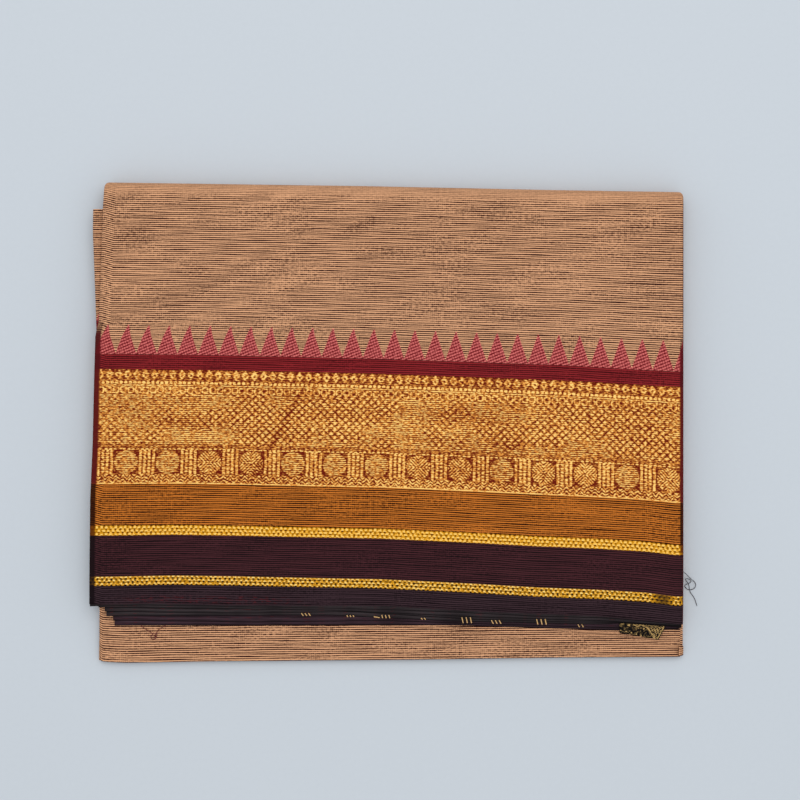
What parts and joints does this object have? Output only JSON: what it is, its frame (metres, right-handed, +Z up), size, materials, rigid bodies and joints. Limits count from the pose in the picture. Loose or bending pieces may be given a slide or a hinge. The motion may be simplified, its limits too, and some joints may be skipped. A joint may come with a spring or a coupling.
{
  "type": "folded cotton saree",
  "caption": "Cotton saree folded flat into a rectangular pack, border side up, with layered dark selvedges and a tan stretch below them.",
  "frame": {"origin": "middle of the rectangle that the folded cloth covers, on the surface it lies on", "axes": "+X along the border towards the right fold, +Y towards the top fold, +Z up out of the front"},
  "size_m": [0.3704, 0.3004, 0.0163],
  "materials": {
    "striped_cotton": "fine striped handloom cotton with a woven zari border",
    "plain_stretch_cotton": "fine striped handloom cotton",
    "dark_selvedge": "dense black and plum cotton",
    "gold_zari": "metallic gold thread woven into cotton",
    "hidden_plies": "edges of stacked cotton plies"
  },
  "bodies": {
    "root": {"outer_stretch": "striped_cotton", "lower_stretch": "plain_stretch_cotton", "first_inner_selvedge": "dark_selvedge", "second_inner_selvedge": "dark_selvedge", "third_inner_selvedge": "dark_selvedge", "left_inner_fold": "striped_cotton", "end_corner": "gold_zari", "hidden_layers": "hidden_plies"}
  },
  "joints": []
}
